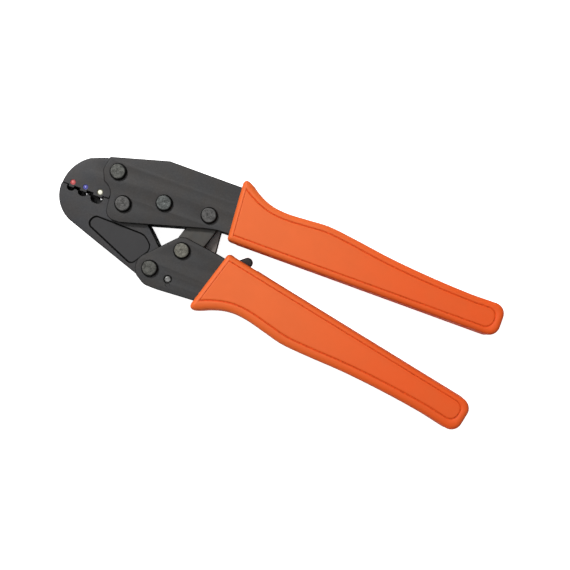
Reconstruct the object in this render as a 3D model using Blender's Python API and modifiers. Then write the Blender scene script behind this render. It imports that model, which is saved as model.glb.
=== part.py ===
"""Ratcheting crimping pliers for insulated terminals, as an assembly of separate solids.

The tool lies flat on its rear face. +X runs from the jaws to the grips, along the plane where
the dies part, +Y points to the upper handle, and +Z is the thickness. The origin is the foot of
the jaw pivot's axis on the surface that the tool lies on. Every size here is in millimetres,
and the meshes are made in metres.
"""
import math

import bmesh
import bpy

MM = 0.001

# ---- Layers, from the rear face (z = 0) to the front face -------------------------------
FACE_GAP = 0.2          # between two faces that slide or bear on each other
PIN_PLAY = 0.3          # between a pin's radius and its hole's radius
HEAD_HEIGHT = 1.5
PLATE_THICKNESS = 2.5
JAW_THICKNESS = 12.8
LINK_PLATE_THICKNESS = 3.9

REAR_PLATE = (HEAD_HEIGHT + FACE_GAP, HEAD_HEIGHT + FACE_GAP + PLATE_THICKNESS)
CORE = (REAR_PLATE[1] + FACE_GAP, REAR_PLATE[1] + FACE_GAP + JAW_THICKNESS)
FRONT_PLATE = (CORE[1] + FACE_GAP, CORE[1] + FACE_GAP + PLATE_THICKNESS)
TOOL_THICKNESS = FRONT_PLATE[1] + FACE_GAP + HEAD_HEIGHT
REAR_LINK = (CORE[0], CORE[0] + LINK_PLATE_THICKNESS)
FRONT_LINK = (CORE[1] - LINK_PLATE_THICKNESS, CORE[1])
RATCHET_LAYER = (REAR_LINK[1] + FACE_GAP, FRONT_LINK[0] - FACE_GAP)
PAWL_LAYER = (RATCHET_LAYER[0] + 0.1, RATCHET_LAYER[1] - 0.1)

# ---- Pivots of the four-bar toggle: frame, jaw, handle and link -------------------------
JAW_PIVOT = (0.0, 0.0)
LINK_PIVOT = (39.3, 8.5)
TOGGLE_PIVOT = (33.0, -11.1)
HANDLE_PIVOT = (21.8, -23.8)
FIXED_JAW_FRONT_RIVET = (-7.1, 13.2)
FIXED_JAW_REAR_RIVET = (17.8, 6.8)
SPRING_PIN = (31.3, -25.8)
PAWL_PIVOT = (54.7, -13.9)

RIVET_RADIUS = 2.5
HEAD_RADIUS = 3.95
HEAD_CHAMFER = 0.6
SPRING_PIN_RADIUS = 1.5
PAWL_PIN_RADIUS = 1.6
SMALL_PLAY = 0.2        # round the pins and posts that are no rivets
OPEN_PIVOT_PLAY = 0.85  # the handle pivot's play in the moving jaw, where the linkage is opened

# ---- Dies: centre x, nest width, nest depth, punch width, punch depth, rear scale --------
# Each die crimps the insulation in its wide front section, and the wire in its rear section,
# which is narrower and shallower by the rear scale.
DIES = (
    (-26.0, 3.7, 2.4, 2.9, 1.0, 0.60),
    (-20.1, 4.4, 3.0, 3.6, 1.1, 0.60),
    (-13.0, 5.7, 4.0, 4.9, 1.0, 0.42),
)
PUNCH_SIDE_GAP = 0.3    # between the punches and the nests' sides in the rear section
DIE_STEP = 10.0         # the height where the two sections meet
PARTING_GAP = 0.3
NOSE_X = -30.9
JAW_EYE_RADIUS = 7.0
JAW_EYE_CLEARANCE = 0.6
JAW_ARM_EYE_RADIUS = 6.3
POCKET_DEPTH = 0.8
SIZE_MARKS = ((-25.9, 1.6), (-19.7, 1.5), (-12.5, 1.5))
MARK_RADIUS = 1.15
MARK_DEPTH = 0.4

# ---- Ratchet ---------------------------------------------------------------------------
TOOTH_TIP_RADIUS = 16.3
TOOTH_ROOT_RADIUS = 15.0
TOOTH_PITCH = 6.0       # degrees
TOOTH_COUNT = 9
FIRST_TOOTH = -63.0     # degrees about the toggle pivot, from +X
RELIEF_RADIUS = 14.6    # where the pawl swings free at the end of the stroke
PAWL_NOSE_GAP = 0.4
LEVER_TIP = (63.1, -5.9)
LEVER_TIP_RADIUS = 2.4
SPRING_POST = (PAWL_PIVOT[0] - 1.4, PAWL_PIVOT[1] + 3.9)
SPRING_POST_RADIUS = 0.8

# ---- Eyes round the link's and the handle's pivots --------------------------------------
LINK_BAR_RADIUS = 6.2
LINK_BAR_SHIFT = 0.7    # of the bar from the line between its pivots, to the grips' side
LINK_BAR_SIDE = -18.0   # the direction of that shift
RATCHET_EYE_RADIUS = 7.4
RATCHET_HEEL_RADIUS = 5.0
HANDLE_TOGGLE_EYE_RADIUS = 6.3
HANDLE_PIVOT_EYE_RADIUS = 7.0

# ---- Pawl spring -------------------------------------------------------------------------
WIRE_RADIUS = 0.35
COIL_RADIUS = 1.2
COIL_TURNS = 9
ANCHOR_LOOP_RADIUS = 2.2
POST_LOOP_RADIUS = 1.75
POST_LOOP_SHIFT = 0.42  # of the loop's centre past the post's, where the post pulls on it
LOOP_LEAD = 2.4         # from each loop to the first turn
SPRING_HEIGHT = 1.9     # of the spring's middle above the ratchet's layer

# ---- Grips: mirrored mouldings -------------------------------------------------------------
# "front" is where the slanting front face meets the inner edge and the outer side, along the
# grip, and "swell" is how much wider the moulding is than GRIP_SIDE.
GRIP_LENGTH = 134.2
GRIP_ROUNDING = 1.3
GRIP_WALL = 2.3
GRIP_FACE_WALL = 1.5
GRIP_MOUTH = 26.9       # from the inner edge to the cavity's outer side at the front
MOUTH_FLARE = 0.3       # how fast that side opens out beyond it, as the plate does
TANG_INSET = 2.8        # of the tang from the sleeve's outline, and of its inner edge
TANG_LENGTH = 104.0
STANDOFF_AT = 60.0      # along the grip, from its front face
STANDOFF_RADIUS = 3.6
STANDOFF_END_RADIUS = 2.0
UPPER_GRIP = {"origin": (49.2, 0.6), "angle": 0.0, "side": 1.0, "tang_entry": 25.4,
              "front": (1.7, -0.6), "swell": 0.0}
LOWER_GRIP = {"origin": (52.6, -4.9), "angle": -11.6, "side": -1.0, "tang_entry": 26.6,
              "front": (1.1, -1.9), "swell": 0.5}
# The outer side's knots: distance along the grip, and width from the inner edge.
GRIP_SIDE = (
    (0.0, 30.6), (3.0, 29.0), (7.5, 25.9), (12.5, 23.3), (18.0, 21.7), (25.0, 21.2),
    (34.0, 21.7), (44.0, 22.2), (56.0, 20.9), (76.0, 18.1), (96.0, 16.3), (116.0, 15.3),
    (126.0, 15.4), (GRIP_LENGTH, 15.5),
)
FRONT_CORNER = 1.5      # fillet radii of the moulding's outline: inner front corner, horn, end
HORN_CORNER = 1.9
END_CORNER = 5.2

STEEL = {"name": "oxide_black_steel", "colour": (0.075, 0.072, 0.070), "rough": 0.5, "metal": 0.6}
BRIGHT = {"name": "worn_rivet_steel", "colour": (0.16, 0.16, 0.14), "rough": 0.45, "metal": 0.8}
SPRING = {"name": "spring_steel", "colour": (0.35, 0.35, 0.34), "rough": 0.35, "metal": 0.9}
SLEEVE = {"name": "orange_plastic", "colour": (0.80, 0.145, 0.044), "rough": 0.42, "metal": 0.0}


# ---- Plane geometry --------------------------------------------------------------------
def polar(centre, radius, degrees):
    """The point at a radius and an angle from a centre."""
    angle = math.radians(degrees)
    return (centre[0] + radius * math.cos(angle), centre[1] + radius * math.sin(angle))


def arc(centre, radius, start, end, step=7.5):
    """Points along an arc from start to end, in degrees, both ends included."""
    count = max(2, math.ceil(abs(end - start) / step))
    return [polar(centre, radius, start + (end - start) * i / count) for i in range(count + 1)]


def circle(centre, radius, count=32):
    """A closed loop of points on a circle."""
    return [polar(centre, radius, 360.0 * i / count) for i in range(count)]


def arc_through(first, middle, last, step=6.0):
    """Points along the arc from first, through middle, to last."""
    (ax, ay), (bx, by), (cx, cy) = first, middle, last
    twice_area = 2.0 * (ax * (by - cy) + bx * (cy - ay) + cx * (ay - by))
    a2, b2, c2 = ax * ax + ay * ay, bx * bx + by * by, cx * cx + cy * cy
    centre = (
        (a2 * (by - cy) + b2 * (cy - ay) + c2 * (ay - by)) / twice_area,
        (a2 * (cx - bx) + b2 * (ax - cx) + c2 * (bx - ax)) / twice_area,
    )
    start = math.degrees(math.atan2(ay - centre[1], ax - centre[0]))
    end = math.degrees(math.atan2(cy - centre[1], cx - centre[0]))
    anticlockwise = twice_area > 0.0
    sweep = (end - start) % 360.0 if anticlockwise else -((start - end) % 360.0)
    return arc(centre, math.dist(centre, first), start, start + sweep, step)


def rounded(corners, step=12.0):
    """A loop from corners (x, y) or (x, y, fillet radius), with the fillets as arcs."""
    loop = []
    for i, corner in enumerate(corners):
        if len(corner) == 2:
            loop.append(corner)
            continue
        x, y, radius = corner
        before = corners[i - 1]
        after = corners[(i + 1) % len(corners)]
        into = math.atan2(y - before[1], x - before[0])
        out = math.atan2(after[1] - y, after[0] - x)
        turn = (out - into + math.pi) % (2.0 * math.pi) - math.pi
        reach = radius * math.tan(abs(turn) / 2.0)
        side = math.copysign(90.0, turn)
        start = (x - reach * math.cos(into), y - reach * math.sin(into))
        centre = polar(start, radius, math.degrees(into) + side)
        first = math.degrees(into) - side
        loop += arc(centre, radius, first, first + math.degrees(turn), step)
    return loop


def grip_side(grip, along):
    """The sleeve's width at a distance along it, on a smooth curve through knots."""
    knots = [(u, v + grip["swell"]) for u, v in GRIP_SIDE]
    i = max(k for k in range(len(knots) - 1) if k == 0 or knots[k][0] <= along)
    (x0, y0), (x1, y1) = knots[i], knots[i + 1]

    def slope(k):
        low, high = knots[max(k - 1, 0)], knots[min(k + 1, len(knots) - 1)]
        return (high[1] - low[1]) / (high[0] - low[0])

    span = x1 - x0
    t = (along - x0) / span
    rise = (y1 - y0) * t * t * (3.0 - 2.0 * t)
    return y0 + rise + span * t * (1.0 - t) * ((1.0 - t) * slope(i) - t * slope(i + 1))


def on_grip(grip, along, across):
    """A point given from the grip's front inner corner, along it and outward across it."""
    angle = math.radians(grip["angle"])
    x = grip["origin"][0] + along * math.cos(angle) - grip["side"] * across * math.sin(angle)
    y = grip["origin"][1] + along * math.sin(angle) + grip["side"] * across * math.cos(angle)
    return (x, y)


def tang_loop(grip):
    """The handle plate's outline inside its sleeve, from the inner edge round to the outer."""
    inner = [(0.0, TANG_INSET), (TANG_LENGTH, TANG_INSET)]
    stations = (104.0, 92.0, 76.0, 60.0, 46.0, 34.0, 24.0, 18.0, 12.0, 7.0, 3.0, 0.0)
    outer = [(u, min(grip_side(grip, u) - TANG_INSET, grip["tang_entry"])) for u in stations]
    return [on_grip(grip, u, v) for u, v in inner + outer]


# ---- Objects ---------------------------------------------------------------------------
def make_material(finish):
    """A Principled material for one finish."""
    material = bpy.data.materials.get(finish["name"])
    if material:
        return material
    material = bpy.data.materials.new(finish["name"])
    material.use_nodes = True
    shader = material.node_tree.nodes["Principled BSDF"]
    shader.inputs["Base Color"].default_value = (*finish["colour"], 1.0)
    shader.inputs["Roughness"].default_value = finish["rough"]
    shader.inputs["Metallic"].default_value = finish["metal"]
    material.diffuse_color = (*finish["colour"], 1.0)
    return material


def add_empty(name, point, parent, collection):
    """An empty on a joint's axis, which the pieces of a moving body are parented to."""
    empty = bpy.data.objects.new(name, None)
    collection.objects.link(empty)
    empty.parent = parent
    base = parent.matrix_world.translation if parent else (0.0, 0.0, 0.0)
    empty.location = (point[0] * MM - base[0], point[1] * MM - base[1], 0.0)
    bpy.context.view_layer.update()
    return empty


def add_mesh(name, mesh, finish, parent, collection):
    """An object for a mesh that is given in the tool's own frame."""
    piece = bpy.data.objects.new(name, mesh)
    collection.objects.link(piece)
    piece.parent = parent
    piece.matrix_parent_inverse = parent.matrix_world.inverted()
    piece.data.materials.append(make_material(finish))
    mesh.shade_smooth()
    mesh.set_sharp_from_angle(angle=math.radians(35.0))
    return piece


def anticlockwise(loop):
    """The loop, turned round if it runs clockwise: a curve's offset needs this sense."""
    area = sum(x0 * y1 - x1 * y0 for (x0, y0), (x1, y1) in zip(loop, loop[1:] + loop[:1]))
    return loop if area > 0.0 else loop[::-1]


def flat_mesh(name, loops, layer, rounding=0.0):
    """A mesh with an outline and its holes, from the layer's lower to its upper z.

    Rounding is the radius of the edges round both faces.
    """
    curve = bpy.data.curves.new(name, "CURVE")
    curve.dimensions = "2D"
    curve.fill_mode = "BOTH"
    curve.extrude = ((layer[1] - layer[0]) / 2.0 - rounding) * MM
    curve.bevel_depth = rounding * MM
    curve.offset = -rounding * MM
    curve.bevel_resolution = 2
    for loop in loops:
        spline = curve.splines.new("POLY")
        spline.points.add(len(loop) - 1)
        for point, (x, y) in zip(spline.points, anticlockwise(loop)):
            point.co = (x * MM, y * MM, 0.0, 1.0)
        spline.use_cyclic_u = True
    drawing = bpy.data.objects.new(name, curve)
    bpy.context.scene.collection.objects.link(drawing)
    drawing.location.z = (layer[0] + layer[1]) / 2.0 * MM
    bpy.context.view_layer.update()
    mesh = bpy.data.meshes.new_from_object(drawing.evaluated_get(bpy.context.evaluated_depsgraph_get()))
    mesh.transform(drawing.matrix_world)
    bpy.data.objects.remove(drawing)
    bpy.data.curves.remove(curve)
    weld = bmesh.new()
    weld.from_mesh(mesh)
    bmesh.ops.remove_doubles(weld, verts=weld.verts, dist=1e-6)
    bmesh.ops.dissolve_degenerate(weld, edges=weld.edges, dist=1e-7)
    bmesh.ops.recalc_face_normals(weld, faces=weld.faces)
    weld.to_mesh(mesh)
    weld.free()
    mesh.name = name
    return mesh


def add_turned(name, point, profile, finish, parent, collection, steps=24):
    """A turned piece on an axis along Z: its profile of (radius, z) runs from top to bottom."""
    mesh = bpy.data.meshes.new(name)
    mesh.from_pydata([(r * MM, 0.0, z * MM) for r, z in profile],
                     [(i, i + 1) for i in range(len(profile) - 1)], [])
    piece = bpy.data.objects.new(name, mesh)
    collection.objects.link(piece)
    piece.parent = parent
    base = parent.matrix_world.translation
    piece.location = (point[0] * MM - base[0], point[1] * MM - base[1], 0.0)
    mesh.materials.append(make_material(finish))
    screw = piece.modifiers.new("turn", "SCREW")
    screw.axis = "Z"
    screw.steps = screw.render_steps = steps
    screw.use_merge_vertices = True
    screw.merge_threshold = 1e-6
    screw.use_smooth_shade = True
    return piece


def add_boolean(piece, tool, operation, cutters):
    """Cuts or joins a piece with a mesh given in the tool's own frame."""
    cutter = bpy.data.objects.new(tool.name, tool)
    cutters.objects.link(cutter)
    cutter.hide_render = True
    cutter.display_type = "WIRE"
    step = piece.modifiers.new(operation.lower(), "BOOLEAN")
    step.operation = operation
    step.solver = "EXACT"
    step.object = cutter


# ---- Pieces ----------------------------------------------------------------------------
def hole(point, radius, play=PIN_PLAY):
    return circle(point, radius + play)


def frame_plate_loops():
    """The frame's side plate: jaw end, open recess over the third die, and the upper tang."""
    jaw_end = [(1.0, -8.8, 3.0), (-5.9, -8.9, 4.6), (-6.8, -3.0)]
    recess = arc_through((-7.0, -0.4), (-7.9, 3.7), (-11.2, 6.6))
    nose = [(-11.9, 6.8), (-14.3, 12.0, 4.0), (-13.1, 18.5, 1.0)]
    back = [(13.6, 26.0, 3.0)]
    tang = tang_loop(UPPER_GRIP)
    throat = [(44.5, 3.2, 6.0), (37.5, 1.6)]
    outline = rounded(jaw_end + recess + nose + back + tang[::-1] + throat)
    pins = (JAW_PIVOT, LINK_PIVOT, FIXED_JAW_FRONT_RIVET, FIXED_JAW_REAR_RIVET)
    return [outline] + [hole(pin, RIVET_RADIUS) for pin in pins] + [standoff_hole(UPPER_GRIP)]


def handle_plate_loops():
    """The lower handle's side plate: pivot eye, toggle eye, and the lower tang."""
    toggle_eye = arc(TOGGLE_PIVOT, HANDLE_TOGGLE_EYE_RADIUS, 80.0, 135.0)
    pivot_eye = arc(HANDLE_PIVOT, HANDLE_PIVOT_EYE_RADIUS, 138.0, 232.0)
    belly = [(21.6, -31.9, 6.0), (28.0, -32.0, 20.0)]
    tang = tang_loop(LOWER_GRIP)
    outline = rounded(toggle_eye + pivot_eye + belly + tang[::-1])
    holes = [hole(pin, RIVET_RADIUS) for pin in (HANDLE_PIVOT, TOGGLE_PIVOT)]
    holes.append(hole(SPRING_PIN, SPRING_PIN_RADIUS, SMALL_PLAY))
    holes.append(hole(PAWL_PIVOT, PAWL_PIN_RADIUS, SMALL_PLAY))
    return [outline] + holes + [standoff_hole(LOWER_GRIP)]


def standoff_point(grip):
    """The standoff's axis: midway across the tang."""
    return on_grip(grip, STANDOFF_AT, grip_side(grip, STANDOFF_AT) / 2.0)


def standoff_hole(grip):
    return hole(standoff_point(grip), STANDOFF_END_RADIUS, SMALL_PLAY)


def nest_corners(die, scale):
    """A nest's outline, left to right, for a section scaled about the die's centre."""
    x, width, depth = die[:3]
    half = width / 2.0 * scale
    return [(x - half, -depth * scale, half * 0.8), (x + half, -depth * scale, half * 0.8)]


def fixed_jaw_loops():
    """The upper jaw: curved nose, three punches, and a hollow round the moving jaw's eye."""
    land = PARTING_GAP / 2.0
    nose = arc_through((NOSE_X + 0.2, land), (-28.7, 7.7), (-21.9, 15.1), 4.0)
    body = [(-14.5, 17.8), (14.0, 25.3, 6.0), (25.0, 25.3, 3.0), (25.0, 3.2, 3.0), (11.5, 1.8)]
    hollow = arc(JAW_PIVOT, JAW_EYE_RADIUS + JAW_EYE_CLEARANCE, 12.0, 179.0)
    punches = []
    for x, _, _, width, depth, _ in reversed(DIES):
        half = width / 2.0
        punches += [(x + half, land), (x + half, -depth, 0.5), (x - half, -depth, 0.5), (x - half, land)]
    outline = rounded(nose + body + hollow + punches)
    return [outline] + [hole(p, RIVET_RADIUS) for p in (FIXED_JAW_FRONT_RIVET, FIXED_JAW_REAR_RIVET)]


def moving_jaw_loops():
    """The lower jaw: three nests, the eye on the jaw pivot, and the arm to the handle pivot."""
    land = -PARTING_GAP / 2.0
    nests = []
    for die in DIES:
        left, right = nest_corners(die, die[5])
        nests += [(left[0], land), left, right, (right[0], land)]
    jaw_eye = arc(JAW_PIVOT, JAW_EYE_RADIUS, 180.0 - math.degrees(math.asin(land / JAW_EYE_RADIUS)), 1.0)
    arm = [(13.6, -5.1), (22.6, -13.6, 4.0)]
    handle_eye = arc(HANDLE_PIVOT, JAW_ARM_EYE_RADIUS, 15.0, -108.4)
    chin = arc_through((-19.9, -16.1), (-28.5, -9.6), (NOSE_X, land), 4.0)
    outline = rounded(nests + jaw_eye + arm + handle_eye + chin)
    return [outline, hole(JAW_PIVOT, RIVET_RADIUS), hole(HANDLE_PIVOT, RIVET_RADIUS, OPEN_PIVOT_PLAY)]


def add_die_sections(fixed_jaw, moving_jaw, cutters):
    """Widens the nests in front, and narrows the punches behind, of the height DIE_STEP."""
    above = 1.0
    for i, die in enumerate(DIES):
        left, right = nest_corners(die, 1.0)
        nest = rounded([(left[0], above), left, right, (right[0], above)])
        mesh = flat_mesh("front_nest_%d" % i, [nest], (DIE_STEP, CORE[1] + above))
        add_boolean(moving_jaw, mesh, "DIFFERENCE", cutters)
        x, punch = die[0], die[3] / 2.0
        narrow = die[1] / 2.0 * die[5] - PUNCH_SIDE_GAP
        for side in (-1.0, 1.0):
            xs, ys = (x + side * narrow, x + side * (punch + 0.2)), (-2.0, PARTING_GAP / 2.0 + 0.1)
            corners = [(xs[0], ys[0]), (xs[1], ys[0]), (xs[1], ys[1]), (xs[0], ys[1])]
            relief = flat_mesh("punch_relief", [corners], (CORE[0] - above, DIE_STEP + 0.3))
            add_boolean(fixed_jaw, relief, "DIFFERENCE", cutters)


def pocket_loop():
    """The shallow pocket in both faces of the moving jaw's arm."""
    return rounded([(-10.9, -9.6, 2.8), (13.8, -10.2, 6.0), (18.9, -15.0, 3.6),
                    (12.3, -25.0, 2.4), (-13.2, -14.1, 2.4)])


def link_plate_loops():
    """An outer plate of the toggle link: a bar that stands a little to the grip side."""
    ends = []
    for pivot, start in ((LINK_PIVOT, LINK_BAR_SIDE), (TOGGLE_PIVOT, LINK_BAR_SIDE + 180.0)):
        centre = polar(pivot, LINK_BAR_SHIFT, LINK_BAR_SIDE)
        ends += arc(centre, LINK_BAR_RADIUS, start, start + 180.0)
    return [ends, hole(LINK_PIVOT, RIVET_RADIUS), hole(TOGGLE_PIVOT, RIVET_RADIUS)]


def ratchet_plate_loops():
    """The link's middle plate, whose toothed edge runs round the toggle pivot."""
    eye = arc(LINK_PIVOT, RATCHET_EYE_RADIUS, -4.0, 70.0)
    eye += arc(LINK_PIVOT, RATCHET_HEEL_RADIUS, 95.0, 162.0)
    heel = arc(TOGGLE_PIVOT, RATCHET_HEEL_RADIUS, 162.0, 240.0)
    teeth = []
    for i in range(TOOTH_COUNT):
        angle = FIRST_TOOTH + i * TOOTH_PITCH
        teeth.append(polar(TOGGLE_PIVOT, TOOTH_ROOT_RADIUS, angle - TOOTH_PITCH * 0.45))
        teeth.append(polar(TOGGLE_PIVOT, TOOTH_TIP_RADIUS, angle - TOOTH_PITCH * 0.12))
        teeth.append(polar(TOGGLE_PIVOT, TOOTH_TIP_RADIUS, angle + TOOTH_PITCH * 0.12))
    last = FIRST_TOOTH + (TOOTH_COUNT - 1) * TOOTH_PITCH
    relief = [polar(TOGGLE_PIVOT, RELIEF_RADIUS, last + 5.0), polar(TOGGLE_PIVOT, RELIEF_RADIUS, 4.0)]
    shoulder = [(47.5, -6.4, 2.0), (46.7, 3.3)]
    outline = rounded(eye + heel + teeth + relief + shoulder)
    return [outline, hole(LINK_PIVOT, RIVET_RADIUS), hole(TOGGLE_PIVOT, RIVET_RADIUS)]


def pawl_loops():
    """The pawl and its thumb lever: one stamping that turns on the pawl pin."""
    inward = math.degrees(math.atan2(TOGGLE_PIVOT[1] - PAWL_PIVOT[1], TOGGLE_PIVOT[0] - PAWL_PIVOT[0]))
    reach = math.dist(TOGGLE_PIVOT, PAWL_PIVOT) - TOOTH_TIP_RADIUS - PAWL_NOSE_GAP
    nose = [polar(PAWL_PIVOT, reach, inward - 4.0), polar(PAWL_PIVOT, reach, inward + 4.0)]
    lever_angle = math.degrees(math.atan2(LEVER_TIP[1] - PAWL_PIVOT[1], LEVER_TIP[0] - PAWL_PIVOT[0]))
    tip = arc(LEVER_TIP, LEVER_TIP_RADIUS, lever_angle - 100.0, lever_angle + 90.0, 20.0)
    shoulder = [polar(PAWL_PIVOT, 5.6, 75.0)] + arc(PAWL_PIVOT, 5.2, 98.0, 122.0)
    root = arc(PAWL_PIVOT, 3.5, inward + 30.0, lever_angle + 280.0, 25.0)
    return [tip + shoulder + nose + root, hole(PAWL_PIVOT, PAWL_PIN_RADIUS, SMALL_PLAY)]


def grip_loop(grip):
    """The sleeve's outline: straight inner edge, swelling outer side and rounded corners."""
    stations = (4.5, 6.0, 7.5, 9.5, 12.0, 15.0, 18.0, 21.5, 26.0, 31.0, 36.0, 41.0, 46.0, 51.0,
                57.0, 66.0, 76.0, 86.0, 96.0, 108.0, 122.0)
    outer = [(u, grip_side(grip, u)) for u in stations]
    inner_front, outer_front = grip["front"]
    horn = (outer_front, grip_side(grip, 0.0), HORN_CORNER)
    end = [(GRIP_LENGTH, grip_side(grip, GRIP_LENGTH), END_CORNER), (GRIP_LENGTH, 0.0, END_CORNER)]
    local = rounded([(inner_front, 0.0, FRONT_CORNER), horn] + outer + end)
    return [on_grip(grip, u, v) for u, v in local]


def cavity_loop(grip):
    """The space inside a sleeve, open at its front face."""
    inner = TANG_INSET - 0.4
    mouth = grip["front"][1] - 1.0
    stations = (105.0, 92.0, 76.0, 60.0, 46.0, 34.0, 24.0, 18.0, 12.0, 7.0, 3.0, 0.0)
    outer = [(u, min(grip_side(grip, u) - GRIP_WALL, GRIP_MOUTH)) for u in stations]
    local = [(mouth, inner), (105.0, inner)] + outer + [(mouth, GRIP_MOUTH - mouth * MOUTH_FLARE)]
    return [on_grip(grip, u, v) for u, v in local]


def slot_mesh(name, grip, start, end, depth, layer):
    """A cutter through a sleeve's inner wall, between two places along it."""
    corners = ((start, -2.0), (end, -2.0), (end, depth), (start, depth))
    return flat_mesh(name, [[on_grip(grip, u, v) for u, v in corners]], layer)


def add_grip(name, grip, slot, parent, parts, cutters):
    """A plastic sleeve with its cavity and the slot that a moving piece passes through."""
    sleeve = flat_mesh(name, [grip_loop(grip)], (0.0, TOOL_THICKNESS), GRIP_ROUNDING)
    piece = add_mesh(name, sleeve, SLEEVE, parent, parts)
    inside = (GRIP_FACE_WALL, TOOL_THICKNESS - GRIP_FACE_WALL)
    cavity = flat_mesh(name + "_cavity", [cavity_loop(grip)], inside)
    add_boolean(piece, cavity, "DIFFERENCE", cutters)
    layer = (RATCHET_LAYER[0] - 0.5, RATCHET_LAYER[1] + 0.5)
    add_boolean(piece, slot_mesh(name + "_slot", grip, *slot, layer), "DIFFERENCE", cutters)


def add_rivet(name, point, parent, parts):
    """A through rivet with a chamfered flat head on each face."""
    top = TOOL_THICKNESS
    profile = [(0.0, top), (HEAD_RADIUS - HEAD_CHAMFER, top), (HEAD_RADIUS, top - HEAD_CHAMFER),
               (HEAD_RADIUS, top - HEAD_HEIGHT), (RIVET_RADIUS, top - HEAD_HEIGHT)]
    mirrored = [(r, top - z) for r, z in reversed(profile)]
    add_turned(name, point, profile + mirrored, BRIGHT, parent, parts)


def add_pin(name, point, radius, finish, parent, parts):
    """A plain pin, flush with the outer faces of the two plates that hold it."""
    low, high = REAR_PLATE[0], FRONT_PLATE[1]
    add_turned(name, point, [(0.0, high), (radius, high), (radius, low), (0.0, low)], finish,
               parent, parts, steps=16)


def add_standoff(name, grip, parent, parts):
    """A shouldered post that holds a handle's two tangs apart inside its sleeve."""
    low, high = CORE
    half = [(0.0, FRONT_PLATE[1]), (STANDOFF_END_RADIUS, FRONT_PLATE[1]),
            (STANDOFF_END_RADIUS, high), (STANDOFF_RADIUS, high)]
    other = [(STANDOFF_RADIUS, low), (STANDOFF_END_RADIUS, low),
             (STANDOFF_END_RADIUS, REAR_PLATE[0]), (0.0, REAR_PLATE[0])]
    add_turned(name, standoff_point(grip), half + other, BRIGHT, parent, parts, steps=16)


def add_spring(name, parent, parts):
    """The pawl's tension spring: a loop round the anchor pin, the coil, a loop at the pawl."""
    height = FRONT_LINK[0] + SPRING_HEIGHT
    per_turn = 10
    post = (SPRING_POST[0] + POST_LOOP_SHIFT, SPRING_POST[1])
    heading = math.degrees(math.atan2(post[1] - SPRING_PIN[1], post[0] - SPRING_PIN[0]))
    length = math.dist(SPRING_PIN, post)
    ux, uy = math.cos(math.radians(heading)), math.sin(math.radians(heading))
    start, end = ANCHOR_LOOP_RADIUS + LOOP_LEAD, length - POST_LOOP_RADIUS - LOOP_LEAD
    first_loop = arc(SPRING_PIN, ANCHOR_LOOP_RADIUS, heading - 330.0, heading, 30.0)
    last_loop = arc(post, POST_LOOP_RADIUS, heading + 180.0, heading + 510.0, 30.0)
    points = [(*p, height) for p in first_loop]
    for i in range(COIL_TURNS * per_turn + 1):
        turn = i / per_turn
        along = start + (end - start) * turn / COIL_TURNS
        side = COIL_RADIUS * math.sin(2.0 * math.pi * turn)
        lift = COIL_RADIUS * math.cos(2.0 * math.pi * turn)
        x = SPRING_PIN[0] + ux * along - uy * side
        y = SPRING_PIN[1] + uy * along + ux * side
        points.append((x, y, height + lift))
    points += [(*p, height) for p in last_loop]
    curve = bpy.data.curves.new(name, "CURVE")
    curve.dimensions = "3D"
    curve.bevel_depth = WIRE_RADIUS * MM
    curve.bevel_resolution = 0
    curve.use_fill_caps = True
    spline = curve.splines.new("POLY")
    spline.points.add(len(points) - 1)
    for point, (x, y, z) in zip(spline.points, points):
        point.co = (x * MM, y * MM, z * MM, 1.0)
    spring = bpy.data.objects.new(name, curve)
    parts.objects.link(spring)
    spring.parent = parent
    spring.matrix_parent_inverse = parent.matrix_world.inverted()
    curve.materials.append(make_material(SPRING))


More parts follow.
